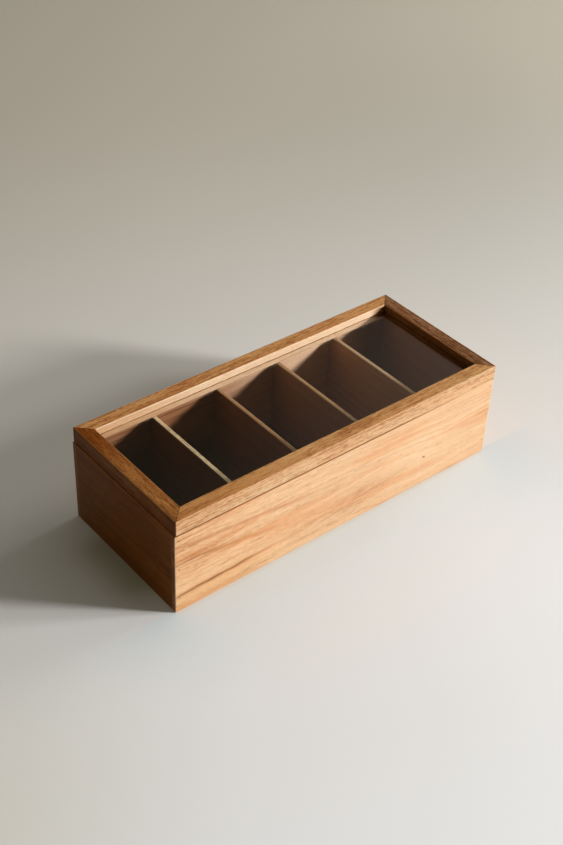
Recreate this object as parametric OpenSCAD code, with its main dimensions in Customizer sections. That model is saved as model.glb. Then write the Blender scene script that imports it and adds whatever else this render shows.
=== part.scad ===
// Tea bag box with five compartments under a hinged, glazed lid.
// The origin is the middle of the footprint, hinges included: X runs along the box, Y to the back, Z up.

/* [Box walls] */
// Outside length of the box
box_len = 360; // [260:1:460]
// Outside depth of the box, from front to back
box_depth = 150; // [110:1:220]
// Height of the walls
wall_h = 84; // [60:1:120]
// Thickness of the walls
wall_t = 8; // [7:0.5:12]
// Lip that a long board keeps beyond the rabbet at each end
lip_t = 4; // [2.5:0.5:6]
// Radius of the eased edges
ease_r = 0.8; // [0.3:0.1:1.5]

/* [Bottom panel] */
// Thickness of the bottom panel
bottom_t = 5; // [3:0.5:8]
// Height of the bottom panel above the table
bottom_up = 4; // [3:0.5:10]
// Depth of the groove around the bottom panel
bottom_groove = 4; // [2:0.5:5]

/* [Dividers] */
// Thickness of a divider
divider_t = 4; // [3:0.5:8]
// Depth of the dado at each end of a divider
dado_depth = 3; // [1.5:0.5:5]
// Distance below the rim at which the dados stop
dado_stop = 6; // [3:0.5:20]
// Drop from the rim of the walls to the top of a divider
divider_drop = 0.5; // [0:0.5:20]

/* [Corner brads] */
// Diameter of a brad
brad_d = 1.2; // [0.8:0.1:1.6]
// Length of a brad
brad_len = 18; // [12:1:25]
// Depth of a brad's head below the face of the wood
brad_set = 0.5; // [0.2:0.1:1]
// Distance of the outer brads from the rim and from the bottom panel
brad_edge = 6; // [4:0.5:12]

/* [Lid frame] */
// Thickness of the lid
lid_t = 15; // [12:0.5:20]
// Width of a rail
rail_w = 14; // [12:0.5:30]
// Length by which the lid stops short of the left end of the box
lid_reveal = 1.2; // [0:0.1:3]
// Height of a mitre nail
mitre_nail_h = 5; // [3:0.5:5.5]
// Length of each wing of a mitre nail
mitre_nail_wing = 4; // [3:0.5:6]
// Thickness of a mitre nail
mitre_nail_t = 0.6; // [0.4:0.1:1]
// Distance of a mitre nail's corner from the outer faces of the lid
mitre_nail_in = 3.5; // [2:0.5:5]

/* [Glass] */
// Thickness of the glass
glass_t = 2; // [1.5:0.5:4]
// Height of the glass above the underside of the lid
glass_up = 6; // [5.5:0.5:8]
// Depth of the groove around the glass
glass_groove = 4.5; // [3:0.5:5.5]

/* [Hinges] */
// Length of a hinge
hinge_len = 30; // [20:1:45]
// Distance from the end of the box to the middle of a hinge
hinge_in = 70; // [40:1:110]
// Width of the flat part of a leaf
leaf_w = 6.5; // [5:0.5:7]
// Thickness of a leaf
leaf_t = 1.2; // [0.8:0.1:2]
// Diameter of the knuckles
knuckle_d = 4.4; // [3.6:0.1:6]
// Diameter of the pin
pin_d = 2; // [1.4:0.1:2.4]
// Depth of the heel that stops the lid
heel_d = 3.4; // [3:0.1:5]
// Angle at which the heels meet
stop_angle = 100.5; // [90.5:0.5:110.5]

/* [Hinge screws] */
// Diameter of a screw's shank
screw_d = 1.8; // [1.4:0.1:2.2]
// Diameter of a screw's head
screw_head_d = 3.6; // [3:0.1:4.4]
// Length of a screw
screw_len = 9; // [6:0.5:10]
// Distance between the two screws of a leaf
screw_gap = 18; // [10:1:18]

/* [Clearances] */
// Play between a wooden piece and the sides of its groove
wood_fit = 0.1; // [0.05:0.05:0.3]
// Room left at the bottom of a groove for the panel and the pane to swell
edge_room = 0.6; // [0.3:0.1:0.9]
// Play between a metal piece and its hole or recess
metal_fit = 0.05; // [0.02:0.01:0.1]
// Gap from a leaf's inner face to the joint between the lid and the box
leaf_gap = 0.15; // [0.1:0.05:0.3]
// Air around and between the knuckles
knuckle_air = 0.3; // [0.2:0.05:0.5]

/* [Hidden] */
$fn = 48;

divider_count = 4;
brads_per_corner = 3;
knuckle_count = 5;
over = 1;

board_wood = [0.86, 0.62, 0.40];
end_wood = [0.55, 0.33, 0.17];
divider_wood = [0.80, 0.66, 0.47];
panel_wood = [0.42, 0.27, 0.17];
rail_wood = [0.70, 0.44, 0.22];
glass_tint = [0.75, 0.85, 0.82, 0.35];
brass = [0.80, 0.66, 0.36];
steel = [0.60, 0.60, 0.62];

inner_len = box_len - 2 * wall_t;
inner_depth = box_depth - 2 * wall_t;
compartment_len = (inner_len - divider_count * divider_t) / (divider_count + 1);
panel_top = bottom_up + bottom_t;
divider_h = wall_h - divider_drop - panel_top;
tongue_top = wall_h - dado_stop - wood_fit;

lid_left = -box_len / 2 + lid_reveal;
lid_len = box_len - lid_reveal;

hinge_offset = knuckle_d / 2 + knuckle_air;
heel_reach = heel_d / tan(stop_angle / 2);
hinge_reach = hinge_offset + heel_reach;
hinge_x = box_len / 2 - hinge_in;
axis_y = box_depth / 2 + hinge_offset;
knuckle_len = (hinge_len - (knuckle_count - 1) * knuckle_air) / knuckle_count;
screw_head_h = (screw_head_d - screw_d) / 2;
screw_rim = 0.15;

function divider_x(i) = -inner_len / 2 + i * compartment_len + (i - 0.5) * divider_t;
function brad_z(i) = panel_top + brad_edge
    + i * (wall_h - panel_top - 2 * brad_edge) / (brads_per_corner - 1);

// ---- Shapes shared by the pieces ----

// Rectangle with its corner at the origin. Radii go round from the corner at the origin.
module eased(size, radii) {
    corners = [[0, 0], [size.x, 0], [size.x, size.y], [0, size.y]];
    difference() {
        square(size);
        for (i = [0:3]) {
            translate(corners[i]) rotate(90 * i) difference() {
                translate([-over, -over]) square(radii[i] + over);
                translate([radii[i], radii[i]]) circle(radii[i]);
            }
        }
    }
}

// Outline in Y and Z, drawn along X
module along_x(length) {
    rotate([90, 0, 90]) linear_extrude(length) children();
}

// Outline in X and Z, drawn along Y
module along_y(length) {
    translate([0, length, 0]) rotate([90, 0, 0]) linear_extrude(length) children();
}

// Block with all twelve edges eased, from its lower front left corner
module eased_block(length, depth, height) {
    radii = [ease_r, ease_r, ease_r, ease_r];
    intersection() {
        linear_extrude(height) eased([length, depth], radii);
        along_x(length) eased([depth, height], radii);
        along_y(depth) eased([length, height], radii);
    }
}

module box_form() {
    translate([-box_len / 2, -box_depth / 2, 0]) eased_block(box_len, box_depth, wall_h);
}

module lid_form() {
    translate([lid_left, -box_depth / 2, wall_h]) eased_block(lid_len, box_depth, lid_t);
}

// ---- Box walls ----

// Cross-section of a board with its outer face at zero and its inner rim eased
module board_section() {
    eased([wall_t, wall_h], [0, 0, ease_r, 0]);
}

// Holes of all the brads, or the brads themselves when the play is zero
module brad_row(play) {
    for (side = [0, 1], face = [0, 1], i = [0:brads_per_corner - 1]) {
        mirror([side, 0, 0]) mirror([0, face, 0])
            translate([-box_len / 2 + wall_t / 2, -box_depth / 2 + brad_set, brad_z(i)])
                rotate([-90, 0, 0]) cylinder(h = brad_len + play, d = brad_d + 2 * play);
    }
}

// Short holes above the set brads, out to the face of the wood
module brad_mouths() {
    for (side = [0, 1], face = [0, 1], i = [0:brads_per_corner - 1]) {
        mirror([side, 0, 0]) mirror([0, face, 0])
            translate([-box_len / 2 + wall_t / 2, -box_depth / 2 - over, brad_z(i)])
                rotate([-90, 0, 0]) cylinder(h = brad_set + 2 * over, d = brad_d + 2 * metal_fit);
    }
}

// Front board: rabbeted at both ends, grooved for the bottom and dadoed for the dividers
module long_board() {
    rabbet = wall_t - lip_t + over;
    inner_face = -box_depth / 2 + wall_t;
    difference() {
        intersection() {
            box_form();
            translate([-box_len / 2, -box_depth / 2, 0]) along_x(box_len) board_section();
        }
        for (side = [0, 1]) {
            mirror([side, 0, 0])
                translate([-box_len / 2 - over, inner_face - wall_t + lip_t, -over])
                    cube([wall_t + over, rabbet, wall_h + 2 * over]);
        }
        translate([-box_len / 2 - over, inner_face - bottom_groove, bottom_up])
            cube([box_len + 2 * over, bottom_groove + over, bottom_t + wood_fit]);
        for (i = [1:divider_count]) {
            translate([divider_x(i) - divider_t / 2 - wood_fit, inner_face - dado_depth, panel_top])
                cube([divider_t + 2 * wood_fit, dado_depth + over, wall_h - dado_stop - panel_top]);
        }
        brad_row(metal_fit);
        brad_mouths();
    }
}

module front_board() {
    color(board_wood) long_board();
}

module back_board() {
    color(board_wood) difference() {
        mirror([0, 1, 0]) long_board();
        for (side = [-1, 1]) at_hinge(side) leaf_recess();
    }
}

// Left end board: lies in the rabbets of the long boards
module end_board() {
    length = box_depth - 2 * lip_t;
    difference() {
        intersection() {
            box_form();
            translate([-box_len / 2, -length / 2, 0]) along_y(length) board_section();
        }
        translate([-box_len / 2 + wall_t - bottom_groove, -box_depth / 2, bottom_up])
            cube([bottom_groove + over, box_depth, bottom_t + wood_fit]);
        brad_row(metal_fit);
    }
}

module left_end_board() {
    color(end_wood) end_board();
}

module right_end_board() {
    color(end_wood) mirror([1, 0, 0]) end_board();
}

module corner_brads() {
    color(steel) brad_row(0);
}

// ---- Bottom and dividers ----

module bottom_panel() {
    tongue = bottom_groove - edge_room;
    color(panel_wood)
        translate([-inner_len / 2 - tongue, -inner_depth / 2 - tongue, bottom_up])
            cube([inner_len + 2 * tongue, inner_depth + 2 * tongue, bottom_t]);
}

// Divider standing on the bottom panel. Its tongues fill the dados, and above them its
// shoulders butt against the boards, clear of the hinges.
module divider(i) {
    length = inner_depth + 2 * (dado_depth - wood_fit);
    color(divider_wood) difference() {
        translate([divider_x(i) - divider_t / 2, -length / 2, panel_top])
            along_y(length) eased([divider_t, divider_h], [0, 0, ease_r, ease_r]);
        for (side = [0, 1]) {
            mirror([0, side, 0])
                translate([divider_x(i) - divider_t / 2 - over, inner_depth / 2, tongue_top])
                    cube([divider_t + 2 * over, dado_depth + over, dado_stop + over]);
        }
    }
}

// ---- Lid frame ----

// Cross-section of a rail: outer face at zero, eased inner edges and the groove for the glass
module rail_section() {
    difference() {
        eased([rail_w, lid_t], [0, ease_r, ease_r, 0]);
        translate([rail_w - glass_groove, glass_up])
            square([glass_groove + over, glass_t + wood_fit]);
    }
}

// Rail along X, with both ends cut at 45 degrees
module mitred_rail(length) {
    intersection() {
        along_x(length) rail_section();
        linear_extrude(lid_t)
            polygon([[0, 0], [length, 0], [length - rail_w, rail_w], [rail_w, rail_w]]);
    }
}

// Rail in its place: its corner of the lid, its direction and its length
module placed_rail(corner, turn, length) {
    difference() {
        intersection() {
            lid_form();
            translate([corner.x, corner.y, wall_h]) rotate(turn) mitred_rail(length);
        }
        at_lid_corners() mitre_nail(metal_fit);
    }
}

// Puts a piece at each corner of the lid, with X and Y pointing into the frame
module at_lid_corners() {
    for (side = [0, 1], face = [0, 1]) {
        translate([lid_left + side * lid_len, (face - 0.5) * box_depth, wall_h])
            mirror([side, 0, 0]) mirror([0, face, 0]) children();
    }
}

// V-shaped nail across the mitre, or its slot when there is play
module mitre_nail(play) {
    wing = mitre_nail_wing + play;
    inside = mitre_nail_t + play;
    translate([mitre_nail_in, mitre_nail_in, -play])
        linear_extrude(mitre_nail_h + 2 * play)
            polygon([
                [-play, -play], [wing, -play], [wing, inside],
                [inside, inside], [inside, wing], [-play, wing]
            ]);
}

module lid_front_rail() {
    color(rail_wood) placed_rail([lid_left, -box_depth / 2], 0, lid_len);
}

module lid_right_rail() {
    color(rail_wood) placed_rail([lid_left + lid_len, -box_depth / 2], 90, box_depth);
}

module lid_back_rail() {
    color(rail_wood) difference() {
        placed_rail([lid_left + lid_len, box_depth / 2], 180, lid_len);
        for (side = [-1, 1]) at_hinge(side) mirror([0, 0, 1]) leaf_recess();
    }
}

module lid_left_rail() {
    color(rail_wood) placed_rail([lid_left, box_depth / 2], 270, box_depth);
}

module mitre_nails() {
    color(steel) at_lid_corners() mitre_nail(0);
}

module glass_pane() {
    tongue = glass_groove - edge_room;
    from_edge = rail_w - tongue;
    color(glass_tint)
        translate([lid_left + from_edge, -box_depth / 2 + from_edge, wall_h + glass_up])
            cube([lid_len - 2 * from_edge, box_depth - 2 * from_edge, glass_t]);
}

// ---- Hinges ----

// Puts a piece on the axis of the left (-1) or the right (1) hinge
module at_hinge(side) {
    translate([side * hinge_x, axis_y, wall_h]) children();
}

// Heel below the knuckles: its sloping face meets the other leaf's when the lid is open
module heel_section() {
    polygon([
        [-hinge_offset, -leaf_gap],
        [-hinge_offset, -heel_d],
        [heel_reach, -heel_d],
        [0, 0]
    ]);
}

// Flat part of the leaf and the heel, hollowed around the other leaf's knuckles
module leaf_section() {
    difference() {
        union() {
            translate([-hinge_offset - leaf_w, -leaf_gap - leaf_t]) square([leaf_w, leaf_t]);
            heel_section();
        }
        circle(d = knuckle_d + 2 * knuckle_air);
    }
}

module knuckle_section() {
    heel_section();
    circle(d = knuckle_d);
}

// Puts a piece at the two screws of a leaf, on the face of the leaf
module at_leaf_screws() {
    for (end = [-1, 1]) {
        translate([end * screw_gap / 2, -hinge_offset - leaf_w / 2, -leaf_gap]) children();
    }
}

// Leaf below the joint. The first of its knuckles is number 0 or 1.
module hinge_leaf(first) {
    difference() {
        union() {
            translate([-hinge_len / 2, 0, 0]) along_x(hinge_len) leaf_section();
            for (i = [first:2:knuckle_count - 1]) {
                translate([-hinge_len / 2 + i * (knuckle_len + knuckle_air), 0, 0])
                    along_x(knuckle_len) knuckle_section();
            }
        }
        translate([-hinge_len / 2 - over, 0, 0])
            rotate([0, 90, 0]) cylinder(h = hinge_len + 2 * over, d = pin_d + 2 * metal_fit);
        at_leaf_screws() screw(metal_fit);
    }
}

// Recess for a leaf in the edge below the joint, with its screw holes
module leaf_recess() {
    length = hinge_len + 2 * metal_fit;
    width = leaf_w + metal_fit;
    translate([-length / 2, -hinge_offset - width, -leaf_gap - leaf_t])
        cube([length, width + over, leaf_gap + leaf_t + over]);
    at_leaf_screws() screw(metal_fit);
}

// Countersunk screw pointing down from the face of the leaf, or its hole when there is play
module screw(play) {
    rotate_extrude() polygon([
        [0, play],
        [screw_head_d / 2 + play, play],
        [screw_head_d / 2 + play, -screw_rim],
        [screw_d / 2 + play, -screw_rim - screw_head_h],
        [screw_d / 2 + play, -screw_len + screw_d / 2],
        [0, -screw_len - play]
    ]);
}

module hinge_box_leaf(side) {
    color(brass) at_hinge(side) hinge_leaf(0);
}

module hinge_lid_leaf(side) {
    color(brass) at_hinge(side) mirror([0, 0, 1]) hinge_leaf(1);
}

module hinge_pin(side) {
    color(brass) at_hinge(side)
        translate([-hinge_len / 2, 0, 0]) rotate([0, 90, 0]) cylinder(h = hinge_len, d = pin_d);
}

module box_hinge_screws() {
    color(brass) for (side = [-1, 1]) at_hinge(side) at_leaf_screws() screw(0);
}

module lid_hinge_screws() {
    color(brass) for (side = [-1, 1]) at_hinge(side) mirror([0, 0, 1]) at_leaf_screws() screw(0);
}

// ---- The whole box ----

// The pieces are drawn around the middle of the walls. This moves them to the middle of the footprint.
module centred() {
    translate([0, -hinge_reach / 2, 0]) children();
}

centred() front_board();
centred() back_board();
centred() left_end_board();
centred() right_end_board();
centred() bottom_panel();
centred() divider(1);  // divider_1
centred() divider(2);  // divider_2
centred() divider(3);  // divider_3
centred() divider(4);  // divider_4
centred() corner_brads();
centred() lid_front_rail();
centred() lid_back_rail();
centred() lid_left_rail();
centred() lid_right_rail();
centred() glass_pane();
centred() mitre_nails();
centred() hinge_box_leaf(-1);  // left_hinge_box_leaf
centred() hinge_lid_leaf(-1);  // left_hinge_lid_leaf
centred() hinge_pin(-1);  // left_hinge_pin
centred() hinge_box_leaf(1);  // right_hinge_box_leaf
centred() hinge_lid_leaf(1);  // right_hinge_lid_leaf
centred() hinge_pin(1);  // right_hinge_pin
centred() box_hinge_screws();
centred() lid_hinge_screws();
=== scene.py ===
import math

import bpy
import numpy as np
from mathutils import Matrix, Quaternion, Vector


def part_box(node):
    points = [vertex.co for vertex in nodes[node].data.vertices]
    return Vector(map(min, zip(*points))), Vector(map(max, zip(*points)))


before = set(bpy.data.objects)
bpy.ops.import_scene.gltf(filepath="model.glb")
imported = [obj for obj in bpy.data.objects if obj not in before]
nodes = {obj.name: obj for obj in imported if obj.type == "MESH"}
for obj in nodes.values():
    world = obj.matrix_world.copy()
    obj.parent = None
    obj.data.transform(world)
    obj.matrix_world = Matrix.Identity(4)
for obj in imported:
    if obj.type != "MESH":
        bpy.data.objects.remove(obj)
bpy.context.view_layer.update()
scene = bpy.context.scene
scene.view_settings.view_transform = "Standard"
print("box loaded,", len(nodes), "parts")

cameraSetup = {
    "place": (-0.62263, -0.71851, 0.80344),
    "lookAt": (0.05109, 0.06996, 0.0),
    "roll": 2.63,  # degrees, the right side rises
    "lens": 57.18,
    "clip": (0.05, 30),
}


def placeCamera(setup):
    camera = bpy.data.objects.new("camera", bpy.data.cameras.new("camera"))
    scene.collection.objects.link(camera)
    sight = Vector(setup["lookAt"]) - Vector(setup["place"])
    turn = sight.to_track_quat("-Z", "Y")
    camera.rotation_mode = "QUATERNION"
    camera.rotation_quaternion = turn @ Quaternion((0, 0, 1), math.radians(setup["roll"]))
    camera.location = setup["place"]
    camera.data.lens = setup["lens"]
    camera.data.clip_start, camera.data.clip_end = setup["clip"]
    scene.camera = camera


placeCamera(cameraSetup)

# a low window from the right front, a weaker one above it and a broad weak fill from the right
lampSetup = {
    "windowLow": {"azimuth": 316, "elevation": 17.5, "distance": 3.6, "size": 0.5, "watts": 156},
    "windowHigh": {"azimuth": 326, "elevation": 24, "distance": 3.6, "size": 0.5, "watts": 52},
    "sideFill": {"azimuth": 358, "elevation": 27, "distance": 3.4, "size": 1.5, "watts": 30},
}


def hangLamp(name, setup):
    lamp = bpy.data.objects.new(name, bpy.data.lights.new(name, "AREA"))
    scene.collection.objects.link(lamp)
    azimuth, elevation = math.radians(setup["azimuth"]), math.radians(setup["elevation"])
    away = Vector((math.cos(azimuth) * math.cos(elevation),
                   math.sin(azimuth) * math.cos(elevation), math.sin(elevation)))
    lamp.location = away * setup["distance"]
    lamp.rotation_mode = "QUATERNION"
    lamp.rotation_quaternion = away.to_track_quat("Z", "Y")
    lamp.data.shape, lamp.data.size = "DISK", setup["size"]
    lamp.data.energy = setup["watts"]
    # the pane mirrors the room and not the lamps themselves
    lamp.visible_camera = lamp.visible_glossy = lamp.visible_transmission = False


for lampName, lampValues in lampSetup.items():
    hangLamp(lampName, lampValues)


# node helpers: a socket takes a link or a plain value
def addNode(tree, kind, sockets=None, **settings):
    made = tree.nodes.new(kind)
    for name, value in settings.items():
        setattr(made, name, value)
    for name, value in (sockets or {}).items():
        if isinstance(value, bpy.types.NodeSocket):
            tree.links.new(value, made.inputs[name])
        else:
            made.inputs[name].default_value = value
    return made


def calc(tree, operation, first, second=0.0, clamp=False):
    return addNode(tree, "ShaderNodeMath", {0: first, 1: second},
                   operation=operation, use_clamp=clamp).outputs[0]


def vectorCalc(tree, operation, first, second=(0, 0, 0)):
    made = addNode(tree, "ShaderNodeVectorMath", {0: first, 1: second}, operation=operation)
    return made.outputs["Value" if operation in ("DOT_PRODUCT", "LENGTH") else "Vector"]


def smooth(tree, value, low, high):  # 0 at low, 1 at high, eased between
    return addNode(tree, "ShaderNodeMapRange", {"Value": value, "From Min": low, "From Max": high},
                   interpolation_type="SMOOTHSTEP").outputs["Result"]


def blendColour(tree, factor, first, second, way="MIX"):
    # sockets 6 and 7 and output 2 are the Mix node's colour ones
    made = addNode(tree, "ShaderNodeMix", {0: factor, 6: first, 7: second},
                   data_type="RGBA", blend_type=way)
    return made.outputs[2]


def tintColour(tree, factor, colour, tint):  # from colour towards colour times tint
    return blendColour(tree, factor, colour, tint, "MULTIPLY")


def noise(tree, place, scale, detail=2.0, roughness=0.5, dimensions="3D"):
    sockets = {"W" if dimensions == "1D" else "Vector": place,
               "Scale": scale, "Detail": detail, "Roughness": roughness}
    return addNode(tree, "ShaderNodeTexNoise", sockets, noise_dimensions=dimensions).outputs


def stretchedNoise(tree, place, scales, detail=2.0, roughness=0.5):  # a scale for each axis
    return noise(tree, vectorCalc(tree, "MULTIPLY", place, scales), 1.0, detail, roughness)


def invert(tree, mask, clamp=False):
    return calc(tree, "SUBTRACT", 1.0, mask, clamp)


def axes(tree, vector):
    return addNode(tree, "ShaderNodeSeparateXYZ", {0: vector}).outputs


def solid(colour):
    return (*colour, 1)


def openGroup(name, inputs, outputs):
    tree = bpy.data.node_groups.new(name, "ShaderNodeTree")
    for socketName, kind in inputs.items():
        tree.interface.new_socket(socketName, in_out="INPUT", socket_type="NodeSocket" + kind)
    for socketName, kind in outputs.items():
        tree.interface.new_socket(socketName, in_out="OUTPUT", socket_type="NodeSocket" + kind)
    given, made = tree.nodes.new("NodeGroupInput"), tree.nodes.new("NodeGroupOutput")
    return tree, given.outputs, made.inputs


def useGroup(tree, group, sockets):
    return addNode(tree, "ShaderNodeGroup", sockets, node_tree=group).outputs


# the room is dim, with a pale ceiling and a broad glow high on the right
roomLight = {"walls": (0.046, 0.036, 0.018), "ceiling": (0.27, 0.265, 0.215),
             "ceilingAt": (-0.25, 0.25, 0.94), "ceilingSpread": (0.55, 1.0),
             "glow": (0.50, 0.475, 0.45), "glowAt": (0.74, -0.05, 0.67),
             "glowSpread": (0.70, 0.97)}


def lightRoom(setup):
    scene.world = bpy.data.worlds.new("room")
    scene.world.use_nodes = True
    tree = scene.world.node_tree
    sight = addNode(tree, "ShaderNodeTexCoord").outputs["Generated"]
    colour = solid(setup["walls"])
    for part in ("ceiling", "glow"):
        near = vectorCalc(tree, "DOT_PRODUCT", sight, setup[part + "At"])
        colour = blendColour(tree, smooth(tree, near, *setup[part + "Spread"]), colour,
                             solid(setup[part]))
    tree.links.new(colour, tree.nodes["Background"].inputs["Color"])


lightRoom(roomLight)
print("camera, lamps and room placed")

# the layers of the grain: scales along and across the fibres (X, then Y and Z) and their detail
grainLayers = {
    "rings": {"scale": 1.0, "detail": 3.0, "roughness": 0.6},
    "sway": {"scales": (3.5, 16, 16)},
    "fine": {"scales": (7, 420, 420), "detail": 3.0, "roughness": 0.6},
    "hair": {"scales": (22, 1500, 1500)},
    "fleck": {"scales": (75, 640, 640)},
    "speck": {"scales": (210, 950, 950), "detail": 1.0},
    "cloud": {"scales": (7, 26, 26)},
    "blush": {"scales": (6, 75, 75)},
    "pore": {"scales": (110, 1900, 1900), "detail": 1.0},
}
# From where to where a tone passes over from pale to middle and to deep, and blush and pores
# set in; their tints; the strength of the clouds; the roughness of the palest wood, and what
# the deepest wood and a pore add to it; and how high hairs and fine fibres stand above a pore.
grainTones = {"toMiddle": (0.2, 0.52), "toDeep": (0.5, 0.85), "blush": (0.42, 0.68),
              "pore": (0.62, 0.74), "blushTint": (0.97, 0.68, 0.5),
              "poreTint": (0.45, 0.33, 0.25), "clouds": 0.7,
              "rough": 0.42, "roughDeep": 0.16, "roughPore": 0.2,
              "hairHeight": 0.35, "fineHeight": 0.5}


def makeGrainGroup(layers, tones):
    # Grain runs along X. Rings are noise of the distance from the pith, r = sqrt(y*y + z*z),
    # after y and z are pushed about by slow noise; fibres and pores are noise stretched along X.
    tree, given, made = openGroup(
        "woodGrain",
        {"Grain": "Vector", "Pale": "Color", "Middle": "Color", "Deep": "Color", "Rings": "Float",
         "Wave": "Float", "Figure": "Float", "Fibre": "Float", "Pores": "Float", "Blush": "Float"},
        {"Colour": "Color", "Roughness": "Float", "Height": "Float"})
    sway = stretchedNoise(tree, given["Grain"], **layers["sway"])["Color"]
    push = vectorCalc(tree, "SUBTRACT", sway, (0.5, 0.5, 0.5))
    push = addNode(tree, "ShaderNodeVectorMath", {0: push, "Scale": given["Wave"]},
                   operation="SCALE").outputs["Vector"]
    bent = vectorCalc(tree, "ADD", given["Grain"], vectorCalc(tree, "MULTIPLY", push, (0, 1, 1)))
    across = vectorCalc(tree, "LENGTH", vectorCalc(tree, "MULTIPLY", bent, (0, 1, 1)))
    rings = noise(tree, calc(tree, "MULTIPLY", across, given["Rings"]), dimensions="1D",
                  **layers["rings"])[0]
    fine, hair, fleck, speck, blush, pore = (
        stretchedNoise(tree, bent, **layers[name])[0]
        for name in ("fine", "hair", "fleck", "speck", "blush", "pore"))
    cloud = stretchedNoise(tree, given["Grain"], **layers["cloud"])[0]

    # each layer varies about a half, so a half is taken off each
    threads = calc(tree, "ADD", calc(tree, "ADD", fine, hair), calc(tree, "ADD", fleck, speck))
    threads = calc(tree, "MULTIPLY", calc(tree, "SUBTRACT", threads, 2.0), given["Fibre"])
    bands = calc(tree, "MULTIPLY", calc(tree, "SUBTRACT", rings, 0.5), given["Figure"])
    clouds = calc(tree, "MULTIPLY", calc(tree, "SUBTRACT", cloud, 0.5), tones["clouds"])
    tone = calc(tree, "ADD", calc(tree, "ADD", bands, clouds), calc(tree, "ADD", threads, 0.5))

    colour = blendColour(tree, smooth(tree, tone, *tones["toMiddle"]), given["Pale"],
                         given["Middle"])
    colour = blendColour(tree, smooth(tree, tone, *tones["toDeep"]), colour, given["Deep"])
    blush = calc(tree, "MULTIPLY", smooth(tree, blush, *tones["blush"]), given["Blush"])
    colour = tintColour(tree, blush, colour, solid(tones["blushTint"]))
    pore = calc(tree, "MULTIPLY", smooth(tree, pore, *tones["pore"]), given["Pores"])
    tree.links.new(tintColour(tree, pore, colour, solid(tones["poreTint"])), made["Colour"])

    rough = calc(tree, "ADD", calc(tree, "MULTIPLY", tone, tones["roughDeep"]), tones["rough"])
    rough = calc(tree, "ADD", rough, calc(tree, "MULTIPLY", pore, tones["roughPore"]))
    tree.links.new(rough, made["Roughness"])
    height = calc(tree, "SUBTRACT", calc(tree, "MULTIPLY", hair, tones["hairHeight"]), pore)
    height = calc(tree, "ADD", height, calc(tree, "MULTIPLY", fine, tones["fineHeight"]))
    tree.links.new(height, made["Height"])
    return tree


# how squarely a surface has to face a way, as a cosine, before its tint starts and is full
facingSpread = {"face": (0.35, 0.95), "end": (0.55, 0.9)}


def facingMask(tree, facing, way):
    return smooth(tree, vectorCalc(tree, "DOT_PRODUCT", facing, way), *facingSpread["face"])


def makeFaceGroup():
    # Tints a board's top, its inner and outer face and its end grain, by where the surface faces.
    # The top, inner and outer tints are partly painted shade; the end grain tint is the wood's
    # own.
    # The inner face is drawn towards the even colour first.
    tree, given, made = openGroup(
        "faceTone",
        {"Colour": "Color", "Facing": "Vector", "Top": "Color", "Inner": "Color", "Outer": "Color",
         "Inward": "Vector", "End": "Color", "Along": "Vector", "Even": "Color",
         "Evenness": "Float"},
        {"Colour": "Color"})
    up = facingMask(tree, given["Facing"], (0, 0, 1))
    colour = tintColour(tree, up, given["Colour"], given["Top"])
    sheltered = blendColour(tree, given["Evenness"], given["Colour"], given["Even"])
    colour = blendColour(tree, facingMask(tree, given["Facing"], given["Inward"]), colour,
                         tintColour(tree, 1.0, sheltered, given["Inner"]))
    outward = vectorCalc(tree, "MULTIPLY", given["Inward"], (-1, -1, -1))
    colour = blendColour(tree, facingMask(tree, given["Facing"], outward), colour,
                         tintColour(tree, 1.0, given["Colour"], given["Outer"]))
    ends = calc(tree, "ABSOLUTE", vectorCalc(tree, "DOT_PRODUCT", given["Facing"], given["Along"]))
    ends = smooth(tree, ends, *facingSpread["end"])
    tree.links.new(tintColour(tree, ends, colour, given["End"]), made["Colour"])
    return tree


def makeDriftGroup():
    # a face that points along Face takes the tint from Low to High, measured along Along
    tree, given, made = openGroup(
        "toneDrift",
        {"Colour": "Color", "Place": "Vector", "Facing": "Vector", "Along": "Vector",
         "Low": "Float", "High": "Float", "Face": "Vector", "Tint": "Color"},
        {"Colour": "Color"})
    way = smooth(tree, vectorCalc(tree, "DOT_PRODUCT", given["Place"], given["Along"]),
                 given["Low"], given["High"])
    way = calc(tree, "MULTIPLY", way, facingMask(tree, given["Facing"], given["Face"]))
    tree.links.new(tintColour(tree, way, given["Colour"], given["Tint"]), made["Colour"])
    return tree


def insideBlock(tree, given):  # distances to the nearer side of the block Low to High, by axis
    return axes(tree, vectorCalc(tree, "MINIMUM",
                                 vectorCalc(tree, "SUBTRACT", given["Place"], given["Low"]),
                                 vectorCalc(tree, "SUBTRACT", given["High"], given["Place"])))


# the width of the worn and highlighted strip, its strength, the scale of its unevenness and its
# least share
wearAndHighlightLook = {"width": 0.0013, "amount": 0.45, "patches": 55.0, "least": 0.6}


def makeWearAndHighlightGroup(setup):
    # The second smallest of the distances to the sides of a block is the distance to its
    # nearest edge; handling wears and polishes that strip unevenly, and its lighter tint is also a
    # painted highlight on the arrises.
    tree, given, made = openGroup(
        "edgeWearAndHighlight",
        {"Colour": "Color", "Place": "Vector", "Low": "Vector", "High": "Vector",
         "Width": "Float", "Amount": "Float", "Tint": "Color"},
        {"Colour": "Color"})
    x, y, z = insideBlock(tree, given)
    edge = calc(tree, "MAXIMUM", calc(tree, "MINIMUM", x, y),
                calc(tree, "MINIMUM", calc(tree, "MAXIMUM", x, y), z))
    uneven = calc(tree, "ADD", noise(tree, given["Place"], setup["patches"])[0], setup["least"])
    reach = calc(tree, "MULTIPLY", given["Width"], uneven)
    mask = invert(tree, smooth(tree, edge, 0.0, reach), clamp=True)
    mask = calc(tree, "MULTIPLY", mask, given["Amount"], clamp=True)
    tree.links.new(blendColour(tree, mask, given["Colour"], given["Tint"]), made["Colour"])
    return tree


# edge and fades are from where to where, in widths of the streak and in shares of its length
streakShape = {"sway": 22.0, "grit": (60, 900, 900), "gritDepth": 1.5, "edge": (0.55, 1.75),
               "fadeIn": (-0.08, 0.08), "fadeOut": (0.55, 1.0)}


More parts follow.
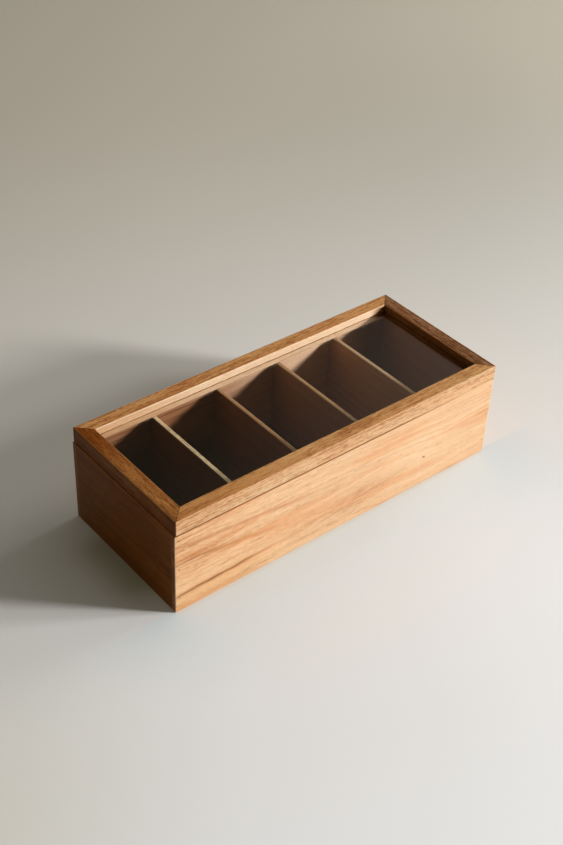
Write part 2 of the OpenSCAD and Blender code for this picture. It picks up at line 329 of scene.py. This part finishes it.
def makeStreakGroup(setup):
    # A streak lies on the line z = Height + Rise*(x - Start), swayed by noise of x, and fades
    # out past half its Length.
    tree, given, made = openGroup(
        "mineralStreak",
        {"Place": "Vector", "Start": "Float", "Length": "Float", "Height": "Float",
         "Rise": "Float", "Sway": "Float", "Width": "Float"},
        {"Mask": "Float"})
    parts = axes(tree, given["Place"])
    x, z = parts[0], parts[2]
    run = calc(tree, "SUBTRACT", x, given["Start"])
    share = calc(tree, "DIVIDE", run, given["Length"])
    swing = calc(tree, "SUBTRACT", noise(tree, x, setup["sway"], dimensions="1D")[0], 0.5)
    line = calc(tree, "ADD", given["Height"], calc(tree, "MULTIPLY", run, given["Rise"]))
    line = calc(tree, "ADD", line, calc(tree, "MULTIPLY", swing, given["Sway"]))
    gap = calc(tree, "ABSOLUTE", calc(tree, "SUBTRACT", z, line))
    grit = stretchedNoise(tree, given["Place"], setup["grit"])[0]
    gap = calc(tree, "ADD", calc(tree, "DIVIDE", gap, given["Width"]),
               calc(tree, "MULTIPLY", grit, setup["gritDepth"]))
    body = invert(tree, smooth(tree, gap, *setup["edge"]))
    fade = calc(tree, "MULTIPLY", smooth(tree, share, *setup["fadeIn"]),
                invert(tree, smooth(tree, share, *setup["fadeOut"])))
    tree.links.new(calc(tree, "MULTIPLY", body, fade, clamp=True), made["Mask"])
    return tree


# the dark lines of the lid's mitres, and the painted shade of the crevice between the lid and the
# box, which lies at the height of the box and weakens over fade, along X, by the given share
jointLook = {"mitreWidth": 0.0006, "mitreCore": 0.3, "mitreTint": (0.3, 0.2, 0.14),
             "partingHeight": 0.084, "partingWidth": 0.0014, "partingCore": 0.25,
             "partingTint": (0.36, 0.22, 0.13), "parting": 0.9, "fade": (0.05, 0.17),
             "fadeShare": 0.8}


def lineMask(tree, gap, width, core):  # full within core times the width, none beyond the width
    return invert(tree, smooth(tree, gap, calc(tree, "MULTIPLY", width, core), width))


def makeMitreGroup(setup):
    # with u and v the distances in from the lid's two nearest sides, a mitre lies where u = v
    tree, given, made = openGroup(
        "mitreLine",
        {"Colour": "Color", "Place": "Vector", "Low": "Vector", "High": "Vector", "Width": "Float",
         "Tint": "Color"},
        {"Colour": "Color"})
    parts = insideBlock(tree, given)
    u, v = parts[0], parts[1]
    gap = calc(tree, "ABSOLUTE", calc(tree, "SUBTRACT", u, v))
    mask = lineMask(tree, gap, given["Width"], setup["mitreCore"])
    tree.links.new(tintColour(tree, mask, given["Colour"], given["Tint"]), made["Colour"])
    return tree


def makePartingGroup(setup):
    # painted shade in the crevice between lid and box, dark within Width of the height where they
    # meet
    tree, given, made = openGroup(
        "partingLine",
        {"Colour": "Color", "Place": "Vector", "Height": "Float", "Width": "Float",
         "Amount": "Float", "Tint": "Color"},
        {"Colour": "Color"})
    z = axes(tree, given["Place"])[2]
    gap = calc(tree, "ABSOLUTE", calc(tree, "SUBTRACT", z, given["Height"]))
    mask = lineMask(tree, gap, given["Width"], setup["partingCore"])
    mask = calc(tree, "MULTIPLY", mask, given["Amount"])
    tree.links.new(tintColour(tree, mask, given["Colour"], given["Tint"]), made["Colour"])
    return tree


grainGroup = makeGrainGroup(grainLayers, grainTones)
faceGroup = makeFaceGroup()
driftGroup = makeDriftGroup()
wearAndHighlightGroup = makeWearAndHighlightGroup(wearAndHighlightLook)
streakGroup = makeStreakGroup(streakShape)
mitreGroup = makeMitreGroup(jointLook)
partingGroup = makePartingGroup(jointLook)
print("shader groups ready")

# Every wooden part: fibres along x or y, where in the log it was cut (shift, metres), the way to
# the inside of the box or lid (inward), the colours of its grain and how much of each layer it
# has, the tints of its top, inner and outer face and end grain, how even its inner face is, and
# its gloss. calm is from where to where along X the fibres weaken, and by what share. The top,
# inner and outer tints are partly painted shade, darkening tops the low lamps graze and the inside
# of the box, as noted at the looks below.
peach = {"pale": (0.71, 0.46, 0.265), "middle": (0.62, 0.365, 0.19), "deep": (0.45, 0.215, 0.09),
         "rings": 230, "wave": 0.014, "figure": 0.42, "fibre": 0.42, "pores": 0.45, "blush": 0.35,
         "top": (0.76, 0.60, 0.38), "inner": (0.62, 0.5, 0.4), "outer": (1, 1, 1),
         "end": (0.22, 0.12, 0.07), "evenness": 0.6, "gloss": 0.3}
amber = {**peach, "pale": (0.66, 0.41, 0.22), "middle": (0.52, 0.27, 0.115),
         "deep": (0.3, 0.12, 0.04), "figure": 0.9, "end": (0.5, 0.36, 0.25)}
# umber is the wood painted far darker, as painted shade of the left end, which faces away from the
# lamps; the lid's right rail takes it too
umber = {**peach, "pale": (0.36, 0.15, 0.036), "middle": (0.25, 0.09, 0.014),
         "deep": (0.14, 0.043, 0.006), "figure": 0.7, "inner": (0.5, 0.45, 0.6),
         "end": (0.7, 0.6, 0.5), "gloss": 0.15}
# slat's dark outer tint paints the divider sides that face the lamps dark, so they throw little
# light into the compartments: painted shade
slat = {**amber, "along": "y", "inward": (-1, 0, 0), "outer": (0.29, 0.22, 0.18),
        "evenness": 0.75}
woodLooks = {
    "front_board": {**peach, "along": "x", "shift": (0.31, 0.13, -0.030), "inward": (0, 1, 0),
                    "pale": (0.69, 0.46, 0.275), "middle": (0.60, 0.375, 0.208),
                    "deep": (0.43, 0.215, 0.095), "rings": 430, "figure": 0.62, "wave": 0.02,
                    "fibre": 0.66, "pores": 0.36, "blush": 0.6, "calm": (-0.13, 0.04, 0.55)},
    "back_board": {**amber, "along": "x", "shift": (1.37, -0.12, 0.012), "inward": (0, -1, 0),
                   "pale": (0.86, 0.60, 0.43), "middle": (0.78, 0.50, 0.34),
                   "deep": (0.42, 0.20, 0.11), "inner": (1, 1, 1), "outer": (0.72, 0.64, 0.52),
                   "end": (0.22, 0.12, 0.07), "evenness": 0.8},
    # the left end's outer tint darkens its outer face further: painted shade
    "left_end_board": {**umber, "along": "y", "shift": (2.11, -0.10, -0.060), "inward": (1, 0, 0),
                       "outer": (0.55, 0.46, 0.15)},
    "right_end_board": {**amber, "along": "y", "shift": (3.03, 0.12, -0.020), "inward": (-1, 0, 0),
                        "inner": (1.12, 0.93, 0.92), "evenness": 0.9},
    # the inner tint paints the compartments' floor dark: painted shade
    "bottom_panel": {**amber, "along": "x", "shift": (4.2, 0.01, 0.05), "inward": (0, 0, 1),
                     "top": (1, 1, 1), "inner": (0.2, 0.15, 0.13), "evenness": 0.9},
    # the dividers' inner tints darken their faces more the further left they stand: painted shade
    # inside the compartments
    "divider_1": {**slat, "shift": (5.1, 0.05, 0.02), "pale": (0.9, 0.74, 0.48),
                  "middle": (0.82, 0.62, 0.38), "top": (1, 1, 1), "inner": (0.18, 0.07, 0.02),
                  "outer": (0.2, 0.14, 0.1)},
    "divider_2": {**slat, "shift": (5.9, 0.07, -0.03), "top": (0.8, 0.8, 0.9),
                  "inner": (0.43, 0.26, 0.09)},
    "divider_3": {**slat, "shift": (6.7, -0.06, 0.04), "top": (0.8, 0.85, 0.95),
                  "inner": (0.75, 0.62, 0.58)},
    "divider_4": {**slat, "shift": (7.5, 0.08, 0.03), "top": (0.8, 0.85, 1.0),
                  "inner": (1.05, 0.95, 0.92)},
    "lid_front_rail": {**peach, "along": "x", "shift": (8.3, 0.15, -0.020), "inward": (0, 1, 0),
                       "pale": (0.585, 0.38, 0.21), "middle": (0.50, 0.30, 0.15),
                       "deep": (0.32, 0.145, 0.055), "top": (1.06, 0.90, 0.65), "fibre": 1.2,
                       "pores": 0.5},
    "lid_back_rail": {**peach, "along": "x", "shift": (9.1, -0.14, -0.05), "inward": (0, -1, 0),
                      "pale": (0.88, 0.69, 0.49), "middle": (0.78, 0.56, 0.36),
                      "deep": (0.5, 0.27, 0.13), "top": (0.66, 0.425, 0.215),
                      "inner": (1, 1, 1), "outer": (0.72, 0.53, 0.38), "fibre": 1.7,
                      "figure": 0.9, "blush": 0.6, "evenness": 0.75},
    # the left rail's outer tint darkens its outer face further: painted shade
    "lid_left_rail": {**umber, "along": "y", "shift": (9.9, 0.24, -0.02), "inward": (1, 0, 0),
                      "pale": (0.37, 0.18, 0.065), "middle": (0.25, 0.1, 0.028),
                      "deep": (0.14, 0.047, 0.009), "top": (1.08, 1.0, 0.8),
                      "outer": (0.48, 0.33, 0.11), "fibre": 0.9, "pores": 1.0},
    "lid_right_rail": {**umber, "along": "y", "shift": (10.7, -0.1, -0.07), "inward": (-1, 0, 0),
                       "top": (0.78, 0.9, 1.9), "inner": (0.85, 0.85, 1.1), "fibre": 1.8,
                       "pores": 0.9},
}

# where the tone of a face drifts: the way it is measured, from where to where, the way the face
# points, and the tint at the far end
toneDrifts = {
    "front_board": [{"Along": (-1, 0, 0), "Low": -0.02, "High": 0.17, "Face": (0, -1, 0),
                     "tint": (0.98, 0.91, 0.82)}],
    # On the back board's inner face the tone is darker and browner towards the left; it is painted
    # darker low down, most at the left, and at the right end: painted shade where shadow falls
    # inside the box.
    "back_board": [{"Along": (-1, 0, 0), "Low": -0.08, "High": 0.08, "Face": (0, -1, 0),
                    "tint": (0.45, 0.31, 0.22)},
                   {"Along": (-0.35, 0, -1), "Low": -0.03, "High": 0.0, "Face": (0, -1, 0),
                    "tint": (0.4, 0.36, 0.34)},
                   {"Along": (1, 0, 0), "Low": 0.13, "High": 0.155, "Face": (0, -1, 0),
                    "tint": (0.6, 0.46, 0.37)}],
    # On the back rail's inner face: painted shade below the pane, towards the left where the
    # lamps' light falls off, and at the right end in the right rail's shadow.
    "lid_back_rail": [{"Along": (0, 0, -1), "Low": -0.0915, "High": -0.0905, "Face": (0, -1, 0),
                       "tint": (0.86, 0.77, 0.76)},
                      {"Along": (-1, 0, 0), "Low": 0.03, "High": 0.14, "Face": (0, -1, 0),
                       "tint": (0.85, 0.72, 0.61)},
                      {"Along": (1, 0, 0), "Low": 0.146, "High": 0.162, "Face": (0, -1, 0),
                       "tint": (0.32, 0.18, 0.09)}],
    "lid_front_rail": [{"Along": (-1, 0, 0), "Low": 0.0, "High": 0.15, "Face": (0, 0, 1),
                        "tint": (0.9, 0.78, 0.64)}],
    "lid_left_rail": [{"Along": (0, 1, 0), "Low": -0.02, "High": 0.055, "Face": (0, 0, 1),
                       "tint": (0.56, 0.37, 0.14)}],
}

# dark and ruddy streaks by board, in metres: the x where one starts, its length, its height
# there, its rise for each metre along x, its sway and its width
streaks = {
    "front_board": [
        {"Start": -0.18, "Length": 0.105, "Height": 0.0165, "Rise": 0.04, "Sway": 0.003,
         "Width": 0.0060, "tint": (0.50, 0.235, 0.08), "amount": 0.7},
        {"Start": -0.18, "Length": 0.105, "Height": 0.0165, "Rise": 0.04, "Sway": 0.003,
         "Width": 0.0022, "tint": (0.17, 0.055, 0.010), "amount": 0.95},
        {"Start": -0.18, "Length": 0.14, "Height": 0.0105, "Rise": 0.02, "Sway": 0.003,
         "Width": 0.0055, "tint": (0.66, 0.42, 0.2), "amount": 0.5},
        {"Start": -0.18, "Length": 0.09, "Height": 0.0030, "Rise": 0.01, "Sway": 0.002,
         "Width": 0.0050, "tint": (0.52, 0.25, 0.085), "amount": 0.65},
        {"Start": -0.18, "Length": 0.16, "Height": 0.0700, "Rise": -0.095, "Sway": 0.003,
         "Width": 0.0036, "tint": (0.42, 0.165, 0.06), "amount": 0.7},
        {"Start": -0.18, "Length": 0.135, "Height": 0.0560, "Rise": -0.16, "Sway": 0.008,
         "Width": 0.0045, "tint": (0.43, 0.17, 0.05), "amount": 0.75},
        {"Start": -0.19, "Length": 0.06, "Height": 0.0530, "Rise": -0.06, "Sway": 0.004,
         "Width": 0.0020, "tint": (0.26, 0.09, 0.02), "amount": 0.8},
        {"Start": -0.025, "Length": 0.13, "Height": 0.0180, "Rise": 0.11, "Sway": 0.004,
         "Width": 0.0018, "tint": (0.36, 0.16, 0.07), "amount": 0.5},
        {"Start": 0.14, "Length": 0.06, "Height": 0.0460, "Rise": -0.10, "Sway": 0.003,
         "Width": 0.0050, "tint": (0.55, 0.24, 0.11), "amount": 0.45},
        {"Start": 0.0105, "Length": 0.018, "Height": 0.0570, "Rise": 0.0, "Sway": 0.001,
         "Width": 0.0010, "tint": (0.30, 0.13, 0.05), "amount": 0.6},
        {"Start": 0.0960, "Length": 0.0042, "Height": 0.0318, "Rise": -0.3, "Sway": 0.0,
         "Width": 0.0017, "tint": (0.10, 0.04, 0.015), "amount": 0.95},
    ],
    "back_board": [
        {"Start": -0.17, "Length": 0.17, "Height": 0.0765, "Rise": -0.01, "Sway": 0.003,
         "Width": 0.0022, "tint": (0.38, 0.15, 0.08), "amount": 0.75},
        {"Start": -0.175, "Length": 0.15, "Height": 0.0715, "Rise": -0.03, "Sway": 0.004,
         "Width": 0.0014, "tint": (0.30, 0.11, 0.06), "amount": 0.7},
        {"Start": -0.15, "Length": 0.2, "Height": 0.0655, "Rise": 0.015, "Sway": 0.004,
         "Width": 0.0026, "tint": (0.45, 0.2, 0.11), "amount": 0.6},
    ],
}
bumpLook = {"Strength": 0.25, "Distance": 0.0004}


def shaderTree(name):
    material = bpy.data.materials.new(name)
    material.use_nodes = True
    return material, material.node_tree, material.node_tree.nodes["Principled BSDF"].inputs


def makeWood(partName, look):
    material, tree, shader = shaderTree(partName + "_wood")
    sight = addNode(tree, "ShaderNodeTexCoord").outputs
    alongX = look["along"] == "x"
    grain = addNode(tree, "ShaderNodeMapping",
                    {"Vector": sight["Object"], "Location": look["shift"],
                     "Rotation": (0, 0, 0 if alongX else -math.pi / 2)}).outputs[0]
    fibre, runX = look["fibre"], vectorCalc(tree, "DOT_PRODUCT", sight["Object"], (1, 0, 0))
    if "calm" in look:
        start, end, share = look["calm"]
        calm = calc(tree, "MULTIPLY", smooth(tree, runX, start, end), -fibre * share)
        fibre = calc(tree, "ADD", calm, fibre)
    cut = useGroup(tree, grainGroup, {
        "Grain": grain, "Pale": solid(look["pale"]), "Middle": solid(look["middle"]),
        "Deep": solid(look["deep"]), "Rings": look["rings"], "Wave": look["wave"],
        "Figure": look["figure"], "Fibre": fibre, "Pores": look["pores"],
        "Blush": look["blush"]})
    colour = useGroup(tree, faceGroup, {
        "Colour": cut["Colour"], "Facing": sight["Normal"], "Top": solid(look["top"]),
        "Inner": solid(look["inner"]), "Outer": solid(look["outer"]), "Inward": look["inward"],
        "End": solid(look["end"]), "Along": (1, 0, 0) if alongX else (0, 1, 0),
        "Even": solid(look["middle"]), "Evenness": look["evenness"]})["Colour"]
    for streak in streaks.get(partName, []):
        sockets = {key: value for key, value in streak.items() if key not in ("tint", "amount")}
        mask = useGroup(tree, streakGroup, {"Place": sight["Object"], **sockets})["Mask"]
        colour = blendColour(tree, calc(tree, "MULTIPLY", mask, streak["amount"]), colour,
                             solid(streak["tint"]))
    for drift in toneDrifts.get(partName, []):
        sockets = {key: value for key, value in drift.items() if key != "tint"}
        colour = useGroup(tree, driftGroup, {
            "Colour": colour, "Place": sight["Object"], "Facing": sight["Normal"],
            "Tint": solid(drift["tint"]), **sockets})["Colour"]
    low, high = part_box(partName)
    # the worn edge strip turns towards the pale wood, partly a painted highlight on the arrises
    colour = useGroup(tree, wearAndHighlightGroup, {
        "Colour": colour, "Place": sight["Object"], "Low": low, "High": high,
        "Width": wearAndHighlightLook["width"], "Amount": wearAndHighlightLook["amount"],
        "Tint": solid(look["pale"])})["Colour"]
    if partName.startswith("lid_"):
        lidLow, lidHigh = lidCorners()
        colour = useGroup(tree, mitreGroup, {
            "Colour": colour, "Place": sight["Object"], "Low": lidLow, "High": lidHigh,
            "Width": jointLook["mitreWidth"], "Tint": solid(jointLook["mitreTint"])})["Colour"]
    # painted shade along the crevice where the lid meets the box, fading towards the right
    if partName in ("front_board", "back_board", "lid_front_rail", "lid_back_rail"):
        fade = calc(tree, "MULTIPLY", smooth(tree, runX, *jointLook["fade"]),
                    jointLook["fadeShare"])
        colour = useGroup(tree, partingGroup, {
            "Colour": colour, "Place": sight["Object"], "Height": jointLook["partingHeight"],
            "Width": jointLook["partingWidth"], "Tint": solid(jointLook["partingTint"]),
            "Amount": calc(tree, "SUBTRACT", jointLook["parting"], fade)})["Colour"]
    tree.links.new(colour, shader["Base Color"])
    tree.links.new(cut["Roughness"], shader["Roughness"])
    bump = addNode(tree, "ShaderNodeBump", {"Height": cut["Height"], **bumpLook})
    tree.links.new(bump.outputs[0], shader["Normal"])
    shader["Specular IOR Level"].default_value = look["gloss"]
    return material


def lidCorners():  # only x and y matter to the mitres, so z is left a metre wide each way
    backLow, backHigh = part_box("lid_back_rail")
    frontLow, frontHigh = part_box("lid_front_rail")
    return (backLow.x, frontLow.y, -1.0), (backHigh.x, backHigh.y, 1.0)


def dress(partName, material):
    for slot in nodes[partName].material_slots:
        slot.material = material


for partName, look in woodLooks.items():
    dress(partName, makeWood(partName, look))
print("wood finished,", len(woodLooks), "parts")

glassLook = {"tint": (0.97, 0.985, 0.975), "clear": (0.94, 0.95, 0.93), "ior": 1.5,
             "smear": 0.03, "smearScales": (9, 22, 9), "smearFrom": (0.45, 0.8)}


def makeGlass(look):
    # scattered light and shadows go straight through, what the eye sees is refracted and mirrored
    material, tree, shader = shaderTree("pane_glass")
    sight = addNode(tree, "ShaderNodeTexCoord").outputs
    shader["Base Color"].default_value = solid(look["tint"])
    shader["IOR"].default_value = look["ior"]
    shader["Transmission Weight"].default_value = 1.0
    smear = stretchedNoise(tree, sight["Object"], look["smearScales"], 4.0)[0]
    smear = calc(tree, "MULTIPLY", smooth(tree, smear, *look["smearFrom"]), look["smear"])
    tree.links.new(smear, shader["Roughness"])
    clear = addNode(tree, "ShaderNodeBsdfTransparent", {"Color": solid(look["clear"])})
    path = addNode(tree, "ShaderNodeLightPath").outputs
    path = calc(tree, "MAXIMUM", path["Is Shadow Ray"], path["Is Diffuse Ray"])
    mix = addNode(tree, "ShaderNodeMixShader", {0: path, 2: clear.outputs[0]})
    tree.links.new(tree.nodes["Principled BSDF"].outputs[0], mix.inputs[1])
    tree.links.new(mix.outputs[0], tree.nodes["Material Output"].inputs["Surface"])
    return material


dress("glass_pane", makeGlass(glassLook))

metalLooks = {
    "brass": {"colour": (0.66, 0.44, 0.17), "dull": (0.34, 0.21, 0.08), "rough": 0.28},
    "steel": {"colour": (0.50, 0.49, 0.47), "dull": (0.24, 0.22, 0.20), "rough": 0.38},
}
# the brushing's scales along and across X, the tarnish, and what each adds to the roughness
metalFinish = {"brush": (150, 3500, 3500), "brushRough": 0.18, "tarnish": 160.0,
               "tarnishFrom": (0.45, 0.72), "tarnishRough": 0.12,
               "bump": {"Strength": 0.15, "Distance": 0.0001}}
metalParts = {
    "brass": ["left_hinge_box_leaf", "left_hinge_lid_leaf", "right_hinge_box_leaf",
              "right_hinge_lid_leaf", "box_hinge_screws", "lid_hinge_screws",
              "left_hinge_pin", "right_hinge_pin"],
    "steel": ["corner_brads", "mitre_nails"],
}


def makeMetal(name, look, finish):
    # brushed along X, with duller clouds of tarnish
    material, tree, shader = shaderTree(name)
    sight = addNode(tree, "ShaderNodeTexCoord").outputs["Object"]
    brushed = stretchedNoise(tree, sight, finish["brush"])[0]
    cloud = smooth(tree, noise(tree, sight, finish["tarnish"], 3.0)[0], *finish["tarnishFrom"])
    tree.links.new(blendColour(tree, cloud, solid(look["colour"]), solid(look["dull"])),
                   shader["Base Color"])
    shader["Metallic"].default_value = 1.0
    rough = calc(tree, "ADD", calc(tree, "MULTIPLY", brushed, finish["brushRough"]), look["rough"])
    rough = calc(tree, "ADD", rough, calc(tree, "MULTIPLY", cloud, finish["tarnishRough"]))
    tree.links.new(rough, shader["Roughness"])
    bump = addNode(tree, "ShaderNodeBump", {"Height": brushed, **finish["bump"]})
    tree.links.new(bump.outputs[0], shader["Normal"])
    return material


for metalName, parts in metalParts.items():
    metal = makeMetal(metalName, metalLooks[metalName], metalFinish)
    for partName in parts:
        dress(partName, metal)
print("glass and metal finished")

# Flat floor to the radius, then a bend up to a low wall with its rim; hole is the radius of the
# middle ring, steps are those of the floor, the bend and the turn. The paper passes from dim to
# pale along lean, over reach, as a painted falloff of the lamps' light. Between the two distances
# of farFrom it turns to far, as seen.
studio = {"radius": 4.3, "bend": 0.7, "rim": 1.2, "hole": 0.002, "floorSteps": 24,
          "bendSteps": 16, "around": 96, "lean": (-0.366, -0.931, 0.0), "reach": (-0.93, 0.85),
          "dim": (0.505, 0.462, 0.385), "pale": (0.925, 0.93, 0.95),
          "far": (0.40, 0.385, 0.355), "farFrom": (2.4, 4.2), "gritScale": 700.0,
          "grit": 0.06, "gritTint": (0.5, 0.48, 0.45), "rough": 0.9, "gloss": 0.1}
# The floor's tone close to a board, for the light that the board throws back or keeps off. inset
# keeps it away from the board's ends, and start is how far under the board it begins.
floorTones = [
    {"board": "front_board", "side": (0, -1, 0), "inset": (0.02, 0, 0), "reach": 0.12,
     "start": -0.004, "tint": (0.85, 0.95, 1.0)},
    {"board": "front_board", "side": (0, -1, 0), "inset": (0.004, 0, 0), "reach": 0.005,
     "start": -0.004, "tint": (1.02, 0.92, 0.84)},
    {"board": "left_end_board", "side": (-1, 0, 0), "inset": (0, 0.05, 0), "reach": 0.045,
     "start": -0.004, "tint": (0.57, 0.54, 0.42)},
]
# painted light and shade in broad patches of the floor, lighter or darker after how the lamps
# fall on it; the last one, under the lamps, is painted shade that dims their bright pool: full
# inside the core, gone at the reach
paintedLightPatches = [
    {"middle": (-0.46, -0.15, 0), "core": 0.0, "reach": 0.26, "tint": (0.89, 0.87, 0.79)},
    {"middle": (0.65, 0.3, 0), "core": 0.0, "reach": 0.55, "tint": (0.87, 0.88, 0.88)},
    {"middle": (0.13, -0.24, 0), "core": 0.0, "reach": 0.25, "tint": (1.05, 1.05, 1.07)},
    {"middle": (2.55, -2.3, 0), "core": 1.4, "reach": 3.0, "tint": (0.12, 0.12, 0.12)},
]


def meshFromRings(name, points):
    # points is rings x points of a ring x 3; each face joins two points of a ring, the last and
    # the first among them, to the same two of the next ring
    rings, around = points.shape[:2]
    index = np.arange(rings * around).reshape(rings, around)
    after = np.roll(index, -1, axis=1)
    faces = np.stack([index[:-1], after[:-1], after[1:], index[1:]], -1).reshape(-1, 4)
    mesh = bpy.data.meshes.new(name)
    mesh.from_pydata(points.reshape(-1, 3).tolist(), [], faces.tolist())
    mesh.update()
    made = bpy.data.objects.new(name, mesh)
    scene.collection.objects.link(made)
    return made


def makeFloor(setup):
    # the profile (r, z) is flat, bends up on a quarter circle and ends in a low wall, and is
    # turned about Z; the middle ring is small enough to close the floor
    arc = np.linspace(0, math.pi / 2, setup["bendSteps"] + 1)[1:]
    flat = np.geomspace(setup["hole"], setup["radius"], setup["floorSteps"])
    r = np.concatenate([flat, setup["radius"] + setup["bend"] * np.sin(arc),
                        [setup["radius"] + setup["bend"]]])
    z = np.concatenate([flat * 0, setup["bend"] * (1 - np.cos(arc)), [setup["rim"]]])
    turn = np.linspace(0, 2 * math.pi, setup["around"], endpoint=False)
    points = np.stack([r[:, None] * np.cos(turn), r[:, None] * np.sin(turn),
                       np.repeat(z[:, None], len(turn), 1)], -1)
    floor = meshFromRings("studioFloor", points)
    floor.data.polygons.foreach_set("use_smooth", [True] * len(floor.data.polygons))
    return floor


def layPaintedLight(tree, sight, colour, patch):
    away = vectorCalc(tree, "LENGTH", vectorCalc(tree, "SUBTRACT", sight, patch["middle"]))
    return tintColour(tree, smooth(tree, away, patch["reach"], patch["core"]), colour,
                      solid(patch["tint"]))


def layTone(tree, sight, colour, tone):
    # by the distance to the board's block, on the board's given side only
    low, high = (np.array(corner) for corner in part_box(tone["board"]))
    side, inset = np.array(tone["side"]), np.array(tone["inset"])
    edge = float(max(side @ low, side @ high))
    apart = vectorCalc(tree, "MAXIMUM", vectorCalc(tree, "SUBTRACT", tuple(low + inset), sight),
                       vectorCalc(tree, "SUBTRACT", sight, tuple(high - inset)))
    apart = vectorCalc(tree, "LENGTH", vectorCalc(tree, "MAXIMUM", apart, (0, 0, 0)))
    beyond = calc(tree, "SUBTRACT", vectorCalc(tree, "DOT_PRODUCT", sight, tone["side"]), edge)
    close = calc(tree, "MULTIPLY", smooth(tree, beyond, tone["start"], 0.0),
                 invert(tree, smooth(tree, apart, 0.0, tone["reach"])))
    return tintColour(tree, close, colour, solid(tone["tint"]))


def makePaper(setup):
    material, tree, shader = shaderTree("studio_paper")
    sight = addNode(tree, "ShaderNodeTexCoord").outputs["Object"]
    # painted light: the paper runs from dim to pale along lean, as the lamps' light falls off
    slant = smooth(tree, vectorCalc(tree, "DOT_PRODUCT", sight, setup["lean"]), *setup["reach"])
    colour = blendColour(tree, slant, solid(setup["dim"]), solid(setup["pale"]))
    # painted light and shade patches on the paper
    for patch in paintedLightPatches:
        colour = layPaintedLight(tree, sight, colour, patch)
    for tone in floorTones:
        colour = layTone(tree, sight, colour, tone)
    grit = calc(tree, "MULTIPLY", noise(tree, sight, setup["gritScale"])[0], setup["grit"])
    tree.links.new(blendColour(tree, grit, colour, solid(setup["gritTint"])),
                   shader["Base Color"])
    shader["Roughness"].default_value = setup["rough"]
    shader["Specular IOR Level"].default_value = setup["gloss"]
    # far off it shows pale to the eye, in mirrors and through glass, and throws no light
    path = addNode(tree, "ShaderNodeLightPath").outputs
    seen = calc(tree, "MAXIMUM", path["Is Camera Ray"], path["Is Glossy Ray"])
    seen = calc(tree, "MAXIMUM", seen, path["Is Transmission Ray"])
    away = vectorCalc(tree, "LENGTH", sight)
    seen = calc(tree, "MULTIPLY", seen, smooth(tree, away, *setup["farFrom"]))
    tree.links.new(blendColour(tree, seen, (0, 0, 0, 1), solid(setup["far"])),
                   shader["Emission Color"])
    shader["Emission Strength"].default_value = 1.0
    return material


floor = makeFloor(studio)
floor.data.materials.append(makePaper(studio))
print("floor laid")
